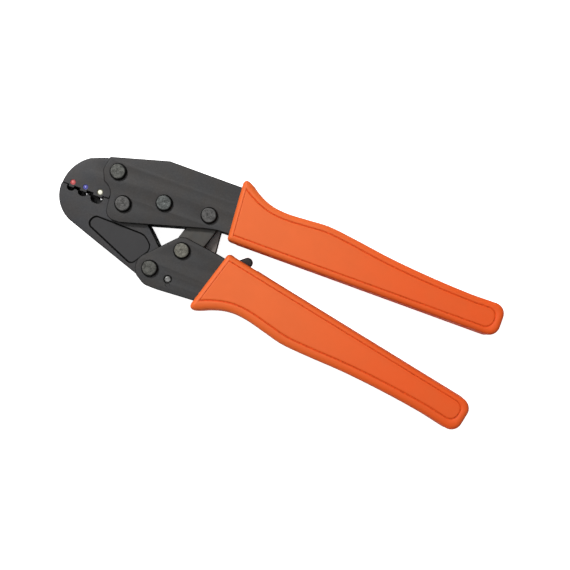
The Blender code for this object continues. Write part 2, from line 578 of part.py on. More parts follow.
# ---- The tool --------------------------------------------------------------------------
def build():
    for old in list(bpy.data.objects):
        bpy.data.objects.remove(old, do_unlink=True)
    parts = bpy.data.collections.new("crimping_tool")
    cutters = bpy.data.collections.new("cutters")
    bpy.context.scene.collection.children.link(parts)
    bpy.context.scene.collection.children.link(cutters)

    frame = add_empty("frame_axis", JAW_PIVOT, None, parts)
    jaw = add_empty("jaw_axis", JAW_PIVOT, frame, parts)
    link = add_empty("link_axis", LINK_PIVOT, frame, parts)
    handle = add_empty("handle_axis", TOGGLE_PIVOT, link, parts)
    pawl = add_empty("pawl_axis", PAWL_PIVOT, handle, parts)

    def add_flat(name, loops, layer, parent):
        return add_mesh(name, flat_mesh(name, loops, layer), STEEL, parent, parts)

    # Frame and upper handle.
    for side, layer in (("front", FRONT_PLATE), ("rear", REAR_PLATE)):
        add_flat("frame_plate_" + side, frame_plate_loops(), layer, frame)
        add_flat("handle_plate_" + side, handle_plate_loops(), layer, handle)
    fixed_jaw = add_flat("fixed_jaw", fixed_jaw_loops(), CORE, frame)
    for i, point in enumerate(SIZE_MARKS):
        mark = circle(point, MARK_RADIUS, 16)
        pit = flat_mesh("size_mark_%d" % i, [mark], (CORE[1] - MARK_DEPTH, CORE[1] + 1.0))
        add_boolean(fixed_jaw, pit, "DIFFERENCE", cutters)
    add_rivet("jaw_pivot_rivet", JAW_PIVOT, frame, parts)
    add_rivet("link_pivot_rivet", LINK_PIVOT, frame, parts)
    add_rivet("fixed_jaw_rivet_front", FIXED_JAW_FRONT_RIVET, frame, parts)
    add_rivet("fixed_jaw_rivet_rear", FIXED_JAW_REAR_RIVET, frame, parts)
    add_grip("upper_grip", UPPER_GRIP, (-2.0, 6.0, 6.0), frame, parts, cutters)
    add_standoff("upper_tang_standoff", UPPER_GRIP, frame, parts)

    # Moving jaw.
    moving_jaw = add_flat("moving_jaw", moving_jaw_loops(), CORE, jaw)
    for side, layer in (("front", (CORE[1] - POCKET_DEPTH, CORE[1] + 1.0)),
                        ("rear", (CORE[0] - 1.0, CORE[0] + POCKET_DEPTH))):
        pocket = flat_mesh("pocket_" + side, [pocket_loop()], layer)
        add_boolean(moving_jaw, pocket, "DIFFERENCE", cutters)
    add_die_sections(fixed_jaw, moving_jaw, cutters)

    # Toggle link with its ratchet.
    add_flat("link_plate_front", link_plate_loops(), FRONT_LINK, link)
    add_flat("link_plate_rear", link_plate_loops(), REAR_LINK, link)
    add_flat("ratchet_plate", ratchet_plate_loops(), RATCHET_LAYER, link)

    # Lower handle.
    add_rivet("handle_pivot_rivet", HANDLE_PIVOT, handle, parts)
    add_rivet("toggle_rivet", TOGGLE_PIVOT, handle, parts)
    add_pin("spring_anchor_pin", SPRING_PIN, SPRING_PIN_RADIUS, SPRING, handle, parts)
    add_pin("pawl_pivot_pin", PAWL_PIVOT, PAWL_PIN_RADIUS, SPRING, handle, parts)
    add_grip("lower_grip", LOWER_GRIP, (3.6, 16.5, 4.0), handle, parts, cutters)
    add_standoff("lower_tang_standoff", LOWER_GRIP, handle, parts)
    add_spring("pawl_spring", handle, parts)

    # Pawl and release lever.
    lever = add_flat("pawl_release_lever", pawl_loops(), PAWL_LAYER, pawl)
    post = circle(SPRING_POST, SPRING_POST_RADIUS, 12)
    post_layer = (PAWL_LAYER[1] - 1.0, FRONT_LINK[1] - 0.6)
    add_boolean(lever, flat_mesh("spring_post", [post], post_layer), "UNION", cutters)


build()
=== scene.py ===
"""The looks of the ratcheting crimping pliers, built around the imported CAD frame.

The tool lies on its rear face in the frame's own axes: +X from the jaws to the grips, +Y towards
the upper handle, +Z out of the front face. Sizes named here are in millimetres, and the meshes
are made in metres.
"""
import math

import bmesh
import bpy
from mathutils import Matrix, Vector, noise


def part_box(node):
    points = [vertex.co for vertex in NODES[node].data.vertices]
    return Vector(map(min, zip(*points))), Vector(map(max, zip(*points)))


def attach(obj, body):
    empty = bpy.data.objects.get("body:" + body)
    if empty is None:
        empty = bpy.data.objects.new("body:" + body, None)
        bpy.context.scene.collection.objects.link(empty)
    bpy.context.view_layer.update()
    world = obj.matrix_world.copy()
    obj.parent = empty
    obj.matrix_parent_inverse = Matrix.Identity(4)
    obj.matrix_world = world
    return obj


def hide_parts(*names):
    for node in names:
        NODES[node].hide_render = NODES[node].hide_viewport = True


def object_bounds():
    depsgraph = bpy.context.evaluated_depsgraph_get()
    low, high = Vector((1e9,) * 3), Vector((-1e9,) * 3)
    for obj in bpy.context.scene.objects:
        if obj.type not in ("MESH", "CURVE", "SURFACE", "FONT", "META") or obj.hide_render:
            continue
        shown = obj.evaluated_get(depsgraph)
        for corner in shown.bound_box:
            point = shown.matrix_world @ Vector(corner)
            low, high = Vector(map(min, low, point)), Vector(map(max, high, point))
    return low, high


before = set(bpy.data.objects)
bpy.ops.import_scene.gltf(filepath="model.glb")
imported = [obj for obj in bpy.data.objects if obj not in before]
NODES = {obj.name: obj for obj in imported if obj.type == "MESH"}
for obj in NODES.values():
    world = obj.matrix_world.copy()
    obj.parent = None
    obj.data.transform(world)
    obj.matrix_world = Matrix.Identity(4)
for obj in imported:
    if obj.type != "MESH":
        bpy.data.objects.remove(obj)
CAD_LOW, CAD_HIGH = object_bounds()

MM = 0.001
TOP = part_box("upper_grip")[1].z / MM       # the sleeves' front faces
MIDDLE = TOP / 2.0

# ---- Shaping ------------------------------------------------------------------------------
SHARP_ANGLE = 32.0      # edges that turn more, in degrees, aren't shaded smooth
SLEEVE_SHARP_ANGLE = 40.0
CORNER_ANGLE = 26.0     # an outline's turns that are gentler belong to arcs
STRAIGHT_ANGLE = 0.4    # and runs that bend less stay straight
ARC_STEP = 0.4          # the length of the short runs that arcs are drawn in
UNEVEN_RUNS = 2.2       # past this ratio of two runs, the longer one is a straight line
WELD = 0.002            # CAD points nearer than this are one
SAME_LEVEL = 0.02       # how near to a height a flat face's points lie
HAIR = 0.01             # just enough to clear a surface
CUT_OVER = 0.3          # how far a cutter passes the surface it starts from
CUT_PAST = 1.0          # and where nothing else is near

# ---- Steel edges and jaws ------------------------------------------------------------------
PLATE_EDGE = 0.42       # radii of the rounded edges
JAW_EDGE = 0.4
NEST_EDGE = 0.2
RATCHET_EDGE = 0.42
LEVER_EDGE = 0.8
POST_EDGE = 0.15
LAND = 0.15             # of each jaw's dies from the parting plane in CAD
CLOSED_LAND = 0.02      # and as the closed jaws really meet
LAND_SLACK = 0.03       # how near to LAND a point of a land lies
POCKET_DEPTH = 0.8      # of the pockets in the lower jaw's arm
POCKET_DRAFT = 0.75     # width of the pockets' sloping walls
POCKET_SHARE = 0.35     # of that width, as far as it lies inside the CAD pocket's outline
RELIEF_DEPTH = 2.0      # of the space beside a punch's narrow rear section
RELIEF_OVER = 0.2       # how far that space passes the punch's front section
DIE_STEP = 10.0         # the height where the dies' front and rear sections meet
DIE_ZONE = (-29.4, -8.0)    # where the dies lie along the jaws
DIE_REACH = 4.5         # deeper than any nest
DIE_SPREAD = 4.2        # points nearer to each other in X than this belong to one die

# ---- Rivet heads and pins ----------------------------------------------------------------
HEAD_HEIGHT = 1.5
HEAD_CHAMFER = 0.78
HEAD_SHIFT = (-0.25, 0.12)  # of a head's flat top from its axis, as the riveting struck it
SHANK_RADIUS = 2.5
PEEN_RADIUS = 1.15      # of the shallow dish that the riveting punch leaves
PEEN_DEPTH = 0.16
RIM_STEP = 0.1          # of a head's rounded rim, and the width that its dents leave clear of it
HEAD_ZONE = 3.0         # from each end of a rivet, all that the riveting shaped
HEAD_DENT = 0.04        # how far the riveting beat a head down evenly
HEAD_LUMP = 0.06        # and in lumps
LUMP_PACE = 1.1         # how fast the lumps follow each other, for each millimetre
DENT_FADE = 0.8         # width over which the dents fade out at a head's edge
PIN_CHAMFER = 0.2       # at a pin's ends
PIN_CROWN = 0.05        # how far a pin's end has dropped where its chamfer starts
STAKE_MARK = (32.1, -28.3)  # a dent in the front handle plate, beside the spring's pin
STAKE_HALF = (1.25, 0.95)   # half its length and width
STAKE_DEPTH = 0.1
RIVETS = (              # CAD node, piece, body, and tint of the steel
    ("jaw_pivot_rivet", "jaw_rivet", "frame", (0.98, 0.96, 1.0)),
    ("link_pivot_rivet", "link_rivet", "frame", (1.0, 0.98, 1.03)),
    ("fixed_jaw_rivet_front", "front_jaw_rivet", "frame", (1.02, 1.04, 1.02)),
    ("fixed_jaw_rivet_rear", "rear_jaw_rivet", "frame", (1.08, 1.17, 1.22)),
    ("handle_pivot_rivet", "handle_rivet", "handle", (1.0, 1.0, 0.97)),
    ("toggle_rivet", "toggle_pivot", "handle", (1.65, 1.6, 1.45)),
)

# ---- Sleeves: the outline is the CAD sleeve's, drawn finer --------------------------------
GRIP_LENGTH = 134.2
GRIP_SIDE = (           # distances along a sleeve, and its width there before its swell
    (0.0, 30.6), (3.0, 29.0), (7.5, 25.9), (12.5, 23.3), (18.0, 21.7), (25.0, 21.2),
    (34.0, 21.7), (44.0, 22.2), (56.0, 20.9), (76.0, 18.1), (96.0, 16.3), (116.0, 15.3),
    (126.0, 15.4), (GRIP_LENGTH, 15.5),
)
# "origin" and "angle" place and turn a sleeve, and "side" is 1 where its outer side is towards +Y.
# "front" is where the slanting front meets the inner edge and the outer side. "swell" widens the
# whole sleeve. "margin" widens the rim along the inner edge and the outer side, and "horn" the
# groove's inset at the horn. "slot" is where a moving piece passes through the inner edge: the
# slot's start and end along the sleeve, and its depth.
GRIPS = {
    "upper_grip": {
        "origin": (49.2, 0.6), "angle": 0.0, "side": 1.0, "front": (1.7, -0.6), "swell": 0.0,
        "margin": (1.12, 1.15), "horn": 1.0, "slot": (-2.0, 6.0, 6.0),
        "body": "frame", "piece": "upper_sleeve",
    },
    "lower_grip": {
        "origin": (52.6, -4.9), "angle": -11.6, "side": -1.0, "front": (1.1, -1.9), "swell": 0.5,
        "margin": (0.92, 1.5), "horn": 0.6, "slot": (3.6, 16.5, 4.0),
        "body": "handle", "piece": "lower_sleeve",
    },
}
FRONT_CORNER = 1.5      # fillet radii of the outline
HORN_CORNER = 1.9
END_CORNER = 5.2
LEAST_END_CORNER = 0.5
GROOVE_ROUND = 0.9      # how nearly the groove's end is a half circle
HORN_BOW = 2.6          # how far from the horn's tip its fillet begins, in fillet radii
SHARPEST = 0.12         # the least fillet radius of an inset outline
SLEEVE_ROUNDING = 2.2
GROOVE_INSET = 2.8      # of the groove's middle line from the outline
GROOVE_HALF = 0.3
GROOVE_DEPTH = 0.32
GROOVE_FRONT = -0.6     # how the groove's inset differs along the front and at the end
GROOVE_END = 1.1
GROOVE_BANDS = (2, 3, 4)    # the gaps between sleeve_profile's steps that line the groove
HORN_REACH = 16.0       # how far along the sleeve the horn widens the groove's inset
SLEEVE_DRAFT = 0.3      # how much wider the moulding is at its parting line than at the rims
SEAM_HEIGHT = 0.1       # of the mould's parting line on the sides
SEAM_FOOT = 0.45        # half the seam's width where it starts
SEAM_CREST = 0.18       # and at its top
CORNER_STEPS = 8        # runs in each stretch of the outline
INNER_STEPS = 40
END_STEPS = 10
SIDE_STEPS = 90
FRONT_STEPS = 18
SLEEVE_WALL = 2.3
SLEEVE_FACE_WALL = 1.5
TANG_INSET = 2.8        # of the tang from the sleeve's outline
TANG_GAP = 0.4          # from the tang to the cavity's wall
# Where the points of the cavity's outer side lie along the sleeve, from its far end to the front.
CAVITY = (105.0, 92.0, 76.0, 60.0, 46.0, 34.0, 24.0, 18.0, 12.0, 7.0, 3.0, 0.0)
MOUTH = 26.9            # from the inner edge to the cavity's outer side at the front
MOUTH_FLARE = 0.3       # how fast that side opens out ahead of the front
SLOT_HALF = 2.8         # half a slot's width
SLOT_PAST = 2.0         # how far its cutter passes the inner edge

# ---- Size marks: place, radius, the pale middle's share of it, and both colours --------------
# Each rim colour is the paint's own with painted shade of the pit's wall, and each middle colour the
# paint's own with a painted highlight
MARKS = (
    ("red", (-25.95, 1.6), 1.3, 0.4, (0.40, 0.028, 0.032), (0.60, 0.13, 0.12)),
    ("blue", (-19.7, 1.47), 1.2, 0.22, (0.028, 0.030, 0.27), (0.34, 0.33, 0.66)),
    ("yellow", (-12.5, 1.5), 1.5, 0.6, (0.075, 0.07, 0.03), (0.88, 0.87, 0.74)),
)
MARK_DEPTH = 0.4        # of the pits
MARK_FLOOR = 0.02       # the paint's gap from the pit's floor
MARK_GAP = 0.04         # and from its wall
MARK_STEPS = 40

# ---- Colours, linear ----------------------------------------------------------------------
PLATE_COLOUR = (0.0362, 0.0345, 0.0342)
LINK_TINT = (1.75, 1.72, 1.56)
# the toothed plate: paler steel, lightened further as painted light to make up for the shade it lies in
# among the plates
RATCHET_STEEL_AND_LIGHT_TINT = (4.6, 4.45, 4.35)
JAW_COLOUR = (0.0368, 0.0358, 0.0374)
# painted shade: the lever is coloured darker than the plates because it lies deep between them
LEVER_SHADED_COLOUR = (0.019, 0.018, 0.018)
# painted shade: near black on the steel's rounded edges and a rivet head's rim, dark on the steel's
# walls; the near black also colours the pits in a rivet head's middle
EDGE_SHADE_AND_PIT_COLOUR = (0.004, 0.004, 0.004)
WALL_SHADE_COLOUR = (0.012, 0.012, 0.012)
RIVET_COLOUR = (0.045, 0.045, 0.042)
RIVET_SCUFF = (0.19, 0.185, 0.165)
SPRING_COLOUR = (0.28, 0.28, 0.27)
PIN_COLOUR = (0.17, 0.17, 0.165)
SLEEVE_COLOUR = (0.79, 0.138, 0.028)
SLEEVE_END_COLOUR = (0.82, 0.101, 0.015)
# painted shade: the groove is coloured darker than the sleeve to stand for the shade down in it
GROOVE_SHADE_COLOUR = (0.75, 0.078, 0.008)
FLOOR_COLOUR = (0.93, 0.93, 0.93)
FLOOR_GLOW = 0.9
BOUNCE_COLOUR = (0.8, 0.8, 0.8)
WHITE = (1.0, 1.0, 1.0)

# ---- Studio: the floor in millimetres, the lights and the camera in metres ------------------
FLOOR_RADIUS = 3500.0
WALL_HEIGHT = 2500.0
BOUNCE_DEPTH = 0.5      # of the paper that lights the tool, below the blank floor
LIGHTS = (              # name, place beside the tool's middle and above the floor, size, watts
    ("key", (-0.70, 0.42, 0.90), 0.28, 12.5),
    ("overhead", (-0.12, 0.06, 1.3), 1.0, 5.4),
)
WORLD_STRENGTH = 0.13
CAMERA_PLACE = (0.08325, -0.00969, 0.4308)
CAMERA_TURN = 20.0
HALF_VIEW = 0.1348      # half the width seen at VIEW_DISTANCE
VIEW_DISTANCE = 0.420


# ---- Node helpers --------------------------------------------------------------------------
class Nodes:
    """A material's node tree, with short calls to add and link nodes."""

    def __init__(self, name):
        self.material = bpy.data.materials.new(name)
        self.material.use_nodes = True
        self.tree = self.material.node_tree
        self.shader = self.tree.nodes["Principled BSDF"]

    def add(self, kind, **settings):
        node = self.tree.nodes.new("ShaderNode" + kind)
        for key, value in settings.items():
            setattr(node, key, value)
        return node

    def link(self, source, target):
        self.tree.links.new(source, target)

    def feed(self, target, value):
        """Links a socket, or sets a number or a colour, on an input."""
        if isinstance(value, bpy.types.NodeSocket):
            self.link(value, target)
        elif isinstance(value, tuple) and len(value) == 3 and target.type == "RGBA":
            target.default_value = (*value, 1.0)
        else:
            target.default_value = value

    def shade(self, name, value):
        """Feeds one of the shader's inputs."""
        self.feed(self.shader.inputs[name], value)

    def math(self, operation, first, second=0.0):
        node = self.add("Math", operation=operation)
        self.feed(node.inputs[0], first)
        self.feed(node.inputs[1], second)
        return node.outputs[0]

    def ramp(self, value, low, high, to_low=0.0, to_high=1.0):
        """Maps a value from low..high to to_low..to_high, smoothly and clamped."""
        node = self.add("MapRange", interpolation_type="SMOOTHSTEP")
        self.feed(node.inputs["Value"], value)
        limits = {"From Min": low, "From Max": high, "To Min": to_low, "To Max": to_high}
        for key, number in limits.items():
            node.inputs[key].default_value = number
        return node.outputs["Result"]

    def mix(self, share, first, second):
        """A colour between two."""
        node = self.add("Mix", data_type="RGBA")
        self.feed(node.inputs["Factor"], share)
        self.feed(node.inputs[6], first)
        self.feed(node.inputs[7], second)
        return node.outputs[2]

    def place(self):
        return self.add("TexCoord").outputs["Object"]

    def noise(self, size, detail=3.0, rough=0.55, stretch=(1.0, 1.0, 1.0)):
        """Noise with features of about this size in millimetres."""
        mapping = self.add("Mapping")
        self.link(self.place(), mapping.inputs["Vector"])
        mapping.inputs["Scale"].default_value = stretch
        node = self.add("TexNoise")
        self.link(mapping.outputs[0], node.inputs["Vector"])
        node.inputs["Scale"].default_value = 1.0 / (size * MM)
        node.inputs["Detail"].default_value = detail
        node.inputs["Roughness"].default_value = rough
        return node.outputs["Fac"]

    def bump(self, height, distance, strength=1.0, normal=None):
        """Bump of this height in millimetres."""
        node = self.add("Bump")
        self.feed(node.inputs["Height"], height)
        node.inputs["Distance"].default_value = distance * MM
        node.inputs["Strength"].default_value = strength
        if normal:
            self.link(normal, node.inputs["Normal"])
        return node.outputs["Normal"]

    def facing_up(self):
        """How squarely the surface faces along Z, front or rear."""
        split = self.add("SeparateXYZ")
        self.link(self.add("NewGeometry").outputs["True Normal"], split.inputs[0])
        return self.math("ABSOLUTE", split.outputs["Z"])


# ---- Materials -----------------------------------------------------------------------------
def oxide_steel(name, colour, tint=(1.0, 1.0, 1.0), rough=0.5, sunk=0.0):
    """Ground steel with a black oxide finish: mottled faces, with painted shade on the rounded edges
    (near black) and on the walls (dark).

    Where a height is given, faces sunk below it on the front get painted shade, a tenth darker, as in a
    pocket.
    """
    nodes = Nodes(name)
    cloudy = nodes.ramp(nodes.noise(9.0, 4.0), 0.3, 0.7)
    speck = nodes.ramp(nodes.noise(0.7, 2.0), 0.35, 0.75)
    warm = tuple(c * k * t for c, k, t in zip(colour, (1.06, 1.0, 0.93), tint))
    cool = tuple(c * k * t for c, k, t in zip(colour, (0.93, 0.98, 1.03), tint))
    face = nodes.mix(cloudy, warm, cool)
    light = nodes.mix(nodes.math("MULTIPLY", speck, 0.35), face, tuple(c * 1.5 for c in colour))
    # painted shade in the pockets: faces below the given height are darkened
    if sunk:
        split = nodes.add("SeparateXYZ")
        nodes.link(nodes.place(), split.inputs[0])
        level = nodes.ramp(split.outputs["Z"], (sunk - 0.7) * MM, (sunk - 0.3) * MM)
        light = nodes.mix(level, tuple(c * 0.9 for c in colour), light)
    upward = nodes.facing_up()
    # painted shade: faces that turn from Z, the rounded edges and the walls, are coloured dark and near
    # black
    side = nodes.mix(nodes.ramp(upward, 0.02, 0.3), WALL_SHADE_COLOUR, EDGE_SHADE_AND_PIT_COLOUR)
    nodes.shade("Base Color", nodes.mix(nodes.ramp(upward, 0.96, 0.999), side, light))
    grind = nodes.noise(0.5, 2.0, 0.6, (0.12, 1.0, 1.0))
    roughness = nodes.math("ADD", nodes.math("MULTIPLY", nodes.noise(4.0), 0.16), rough - 0.08)
    nodes.shade("Roughness", roughness)
    grain = nodes.bump(nodes.noise(0.35, 3.0, 0.7), 0.012)
    nodes.shade("Normal", nodes.bump(grind, 0.0015, 1.0, grain))
    nodes.shade("Specular IOR Level", 0.2)
    return nodes.material


def rivet_steel(name, axis, tint):
    """Worn steel of a rivet head: turned rings round its axis, scuffs, and painted shade on the chamfered
    rim.
    """
    nodes = Nodes(name)
    centred = nodes.add("VectorMath", operation="SUBTRACT")
    nodes.link(nodes.place(), centred.inputs[0])
    centred.inputs[1].default_value = (axis[0] * MM, axis[1] * MM, 0.0)
    flattened = nodes.add("VectorMath", operation="MULTIPLY")
    nodes.link(centred.outputs[0], flattened.inputs[0])
    flattened.inputs[1].default_value = (1.0, 1.0, 0.0)
    distance = nodes.add("VectorMath", operation="LENGTH")
    nodes.link(flattened.outputs[0], distance.inputs[0])
    radius = distance.outputs["Value"]
    blotch = nodes.ramp(nodes.noise(1.5, 4.0, 0.6), 0.36, 0.66)
    scuff = nodes.ramp(nodes.noise(0.5, 3.0, 0.7), 0.5, 0.76)
    centre = nodes.ramp(radius, 0.1 * MM, 0.7 * MM, 0.4, 0.0)
    base = tuple(c * t for c, t in zip(RIVET_COLOUR, tint))
    blotched = nodes.mix(blotch, base, tuple(c * 2.2 for c in base))
    bare = tuple(c * t for c, t in zip(RIVET_SCUFF, tint))
    worn = nodes.mix(nodes.math("MULTIPLY", scuff, 0.75), blotched, bare)
    pitted = nodes.mix(nodes.math("MULTIPLY", centre, nodes.noise(0.5)), worn, EDGE_SHADE_AND_PIT_COLOUR)
    # painted shade: the head's chamfer and sides, where they turn from Z, take the near black
    flat = nodes.ramp(nodes.facing_up(), 0.90, 0.985)
    nodes.shade("Base Color", nodes.mix(flat, EDGE_SHADE_AND_PIT_COLOUR, pitted))
    nodes.shade("Metallic", nodes.math("MULTIPLY", flat, 0.3))
    nodes.shade("Roughness", nodes.math("ADD", nodes.math("MULTIPLY", blotch, 0.15), 0.38))
    rings = nodes.math("SINE", nodes.math("MULTIPLY", radius, 2.0 * math.pi / (0.23 * MM)))
    nodes.shade("Specular IOR Level", 0.12)
    turned = nodes.bump(rings, 0.004)
    nodes.shade("Normal", nodes.bump(nodes.noise(0.5, 4.0, 0.7), 0.055, 1.0, turned))
    return nodes.material


def bright_steel(name, colour, rough=0.3):
    """Bare drawn steel with faint marks."""
    nodes = Nodes(name)
    tarnish = nodes.ramp(nodes.noise(0.9, 4.0), 0.4, 0.75)
    nodes.shade("Base Color", nodes.mix(tarnish, colour, tuple(c * 0.6 for c in colour)))
    nodes.shade("Roughness", nodes.math("ADD", nodes.math("MULTIPLY", tarnish, 0.2), rough))
    nodes.shade("Metallic", 0.8)
    nodes.shade("Normal", nodes.bump(nodes.noise(0.3, 3.0), 0.01))
    return nodes.material


def sleeve_plastic(name):
    """Moulded satin plastic: a fine spark-eroded grain, and a deeper tone towards the end."""
    nodes = Nodes(name)
    split = nodes.add("SeparateXYZ")
    nodes.link(nodes.place(), split.inputs[0])
    along = nodes.ramp(split.outputs["X"], 0.055, 0.175)
    base = nodes.mix(along, SLEEVE_COLOUR, SLEEVE_END_COLOUR)
    cloud = nodes.ramp(nodes.noise(14.0, 3.0), 0.35, 0.65, 0.0, 0.22)
    tone = nodes.mix(cloud, base, tuple(c * 0.86 for c in SLEEVE_COLOUR))
    nodes.shade("Base Color", tone)
    nodes.shade("Roughness", nodes.math("ADD", nodes.math("MULTIPLY", nodes.noise(2.5), 0.14), 0.40))
    nodes.shade("Specular IOR Level", 0.2)
    swell = nodes.bump(nodes.noise(5.0, 2.0), 0.03, 0.5)
    nodes.shade("Normal", nodes.bump(nodes.noise(0.28, 3.0, 0.6), 0.012, 1.0, swell))
    return nodes.material


def groove_shade_plastic(name):
    """The sleeve's plastic down in the groove: darker than the sleeve as painted shade, and mottled at
    random.
    """
    nodes = Nodes(name)
    mottle = nodes.ramp(nodes.noise(1.2, 3.0), 0.3, 0.8)
    # painted shade of the groove, mottled darker at random
    dark = tuple(c * 0.7 for c in GROOVE_SHADE_COLOUR)
    nodes.shade("Base Color", nodes.mix(mottle, GROOVE_SHADE_COLOUR, dark))
    nodes.shade("Roughness", nodes.math("ADD", nodes.math("MULTIPLY", mottle, 0.1), 0.5))
    nodes.shade("Specular IOR Level", 0.2)
    nodes.shade("Normal", nodes.bump(nodes.noise(0.3), 0.01))
    return nodes.material


def mark_paint(name, axis, pale, rim, middle):
    """Paint dabbed into a pit: paler in the middle with a painted highlight on its dome, deeper at the
    rim with painted shade of the pit's wall.
    """
    nodes = Nodes(name)
    centred = nodes.add("VectorMath", operation="DISTANCE")
    nodes.link(nodes.place(), centred.inputs[0])
    centred.inputs[1].default_value = tuple(value * MM for value in axis)
    uneven = nodes.math("MULTIPLY", nodes.noise(0.6), 0.3 * MM)
    distance = nodes.math("ADD", centred.outputs["Value"], uneven)
    # painted highlight in the middle, fading to painted shade at the rim
    highlight_to_shade = nodes.ramp(distance, (pale + 0.02) * MM, (pale + 0.4) * MM)
    nodes.shade("Base Color", nodes.mix(highlight_to_shade, middle, rim))
    nodes.shade("Roughness", nodes.math("ADD", nodes.math("MULTIPLY", nodes.noise(0.5), 0.2), 0.42))
    nodes.shade("Normal", nodes.bump(nodes.noise(0.4), 0.02))
    return nodes.material


# ---- Mesh helpers --------------------------------------------------------------------------
def add_object(name, data):
    """A new object in the scene for a mesh, curve, light or camera."""
    made = bpy.data.objects.new(name, data)
    bpy.context.scene.collection.objects.link(made)
    return made


def new_piece(name, mesh, material, body, slot, *replaced):
    """Adds an object for a mesh in the frame's axes, on its body, and hides the CAD nodes that it
    replaces.
    """
    piece = add_object(name, mesh)
    mesh.materials.clear()
    mesh.materials.append(material)
    mesh.shade_smooth()
    mesh.set_sharp_from_angle(angle=math.radians(SHARP_ANGLE))
    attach(piece, body)
    if replaced:
        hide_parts(*replaced)
    return piece


def apply_modifiers(piece):
    """Makes the evaluated mesh the piece's own."""
    bpy.context.view_layer.update()
    graph = bpy.context.evaluated_depsgraph_get()
    mesh = bpy.data.meshes.new_from_object(piece.evaluated_get(graph))
    piece.modifiers.clear()
    piece.data = mesh


def finished_mesh(name, work):
    """A mesh made of a bmesh with its normals set outward."""
    bmesh.ops.recalc_face_normals(work, faces=work.faces)
    mesh = bpy.data.meshes.new(name)
    work.to_mesh(mesh)
    work.free()
    return mesh


def stack(name, levels):
    """A closed solid through loops of (x, y) with the same number of points, as (z, loop)."""
    work = bmesh.new()
    rings = [[work.verts.new((x * MM, y * MM, z * MM)) for x, y in loop] for z, loop in levels]
    work.faces.new(rings[0][::-1])
    work.faces.new(rings[-1])
    for lower, upper in zip(rings, rings[1:]):
        for i in range(len(lower)):
            j = (i + 1) % len(lower)
            work.faces.new((lower[i], lower[j], upper[j], upper[i]))
    return finished_mesh(name, work)


def prism(name, loop, low, high):
    """A loop of (x, y) drawn out from one height to another."""
    return stack(name, [(low, loop), (high, loop)])


def cut(piece, mesh, operation="DIFFERENCE"):
    """Takes a mesh in the frame's axes away from a piece, or joins it on."""
    cutter = add_object("cutter", mesh)
    boolean = piece.modifiers.new("cut", "BOOLEAN")
    boolean.operation = operation
    boolean.solver = "EXACT"
    boolean.object = cutter
    apply_modifiers(piece)
    bpy.data.objects.remove(cutter)


def level_loops(node, level):
    """The loops round a CAD node's flat faces at a height, as (x, y) lists, longest first."""
    work = bmesh.new()
    work.from_mesh(NODES[node].data)
    bmesh.ops.remove_doubles(work, verts=work.verts, dist=WELD * MM)
    level_faces = {f for f in work.faces if abs(f.normal.z) > 0.99
                   and all(abs(v.co.z - level * MM) < SAME_LEVEL * MM for v in f.verts)}
    rim = [e for e in work.edges if sum(f in level_faces for f in e.link_faces) == 1]
    after = {}
    for edge in rim:
        for a, b in (edge.verts, reversed(edge.verts)):
            after.setdefault(a, []).append(b)
    loops, seen = [], set()
    for start in after:
        loop, here, before = [], start, None
        while here not in seen:
            seen.add(here)
            loop.append((here.co.x / MM, here.co.y / MM))
            onward = [v for v in after[here] if v is not before]
            before, here = here, onward[0]
        if len(loop) > 2:
            loops.append(anticlockwise(without_midpoints(loop)))
    work.free()
    return sorted(loops, key=perimeter, reverse=True)


def perimeter(loop):
    return sum(math.dist(a, b) for a, b in zip(loop, loop[1:] + loop[:1]))


def anticlockwise(loop):
    area = sum(x0 * y1 - x1 * y0 for (x0, y0), (x1, y1) in zip(loop, loop[1:] + loop[:1]))
    return loop if area > 0.0 else loop[::-1]


def without_midpoints(loop):
    """The loop without the points that lie on a straight line between their neighbours."""
    kept = []
    for i, here in enumerate(loop):
        before = Vector(here) - Vector(loop[i - 1])
        after = Vector(loop[(i + 1) % len(loop)]) - Vector(here)
        if abs(before.normalized().cross(after.normalized())) > 0.002:
            kept.append(here)
    return kept


def refined(loop):
    """The loop with its arcs drawn finer: gentle turns become a smooth curve."""
    count = len(loop)
    points = [Vector(p) for p in loop]
    runs = [points[(i + 1) % count] - points[i] for i in range(count)]
    leaving, arriving = [], []
    for i in range(count):
        before, after = runs[i - 1], runs[i]
        into, out = before.normalized(), after.normalized()
        if into.angle(out) > math.radians(CORNER_ANGLE):
            arriving.append(into)
            leaving.append(out)
            continue
        if before.length > UNEVEN_RUNS * after.length:
            tangent = into
        elif after.length > UNEVEN_RUNS * before.length:
            tangent = out
        else:
            tangent = (into * after.length + out * before.length).normalized()
        arriving.append(tangent)
        leaving.append(tangent)
    result = []
    for i in range(count):
        start, run = points[i], runs[i]
        end = points[(i + 1) % count]
        first, last = leaving[i], arriving[(i + 1) % count]
        bend = max(first.angle(run), last.angle(run))
        pieces = max(1, math.ceil(run.length / ARC_STEP)) if bend > math.radians(STRAIGHT_ANGLE) else 1
        for k in range(pieces):
            t = k / pieces
            a, b = 2 * t ** 3 - 3 * t * t + 1, t ** 3 - 2 * t * t + t
            c, d = -2 * t ** 3 + 3 * t * t, t ** 3 - t * t
            spot = a * start + b * run.length * first + c * end + d * run.length * last
            result.append((spot.x, spot.y))
    return result


def grown(loop, distance):
    """An anticlockwise loop moved outward by a distance, corner by corner."""
    result = []
    for i, (x, y) in enumerate(loop):
        (ax, ay), (bx, by) = loop[i - 1], loop[(i + 1) % len(loop)]
        first = Vector((y - ay, ax - x)).normalized()
        second = Vector((by - y, x - bx)).normalized()
        away = (first + second).normalized()
        away *= distance / max(away.dot(first), 0.4)
        result.append((x + away.x, y + away.y))
    return result


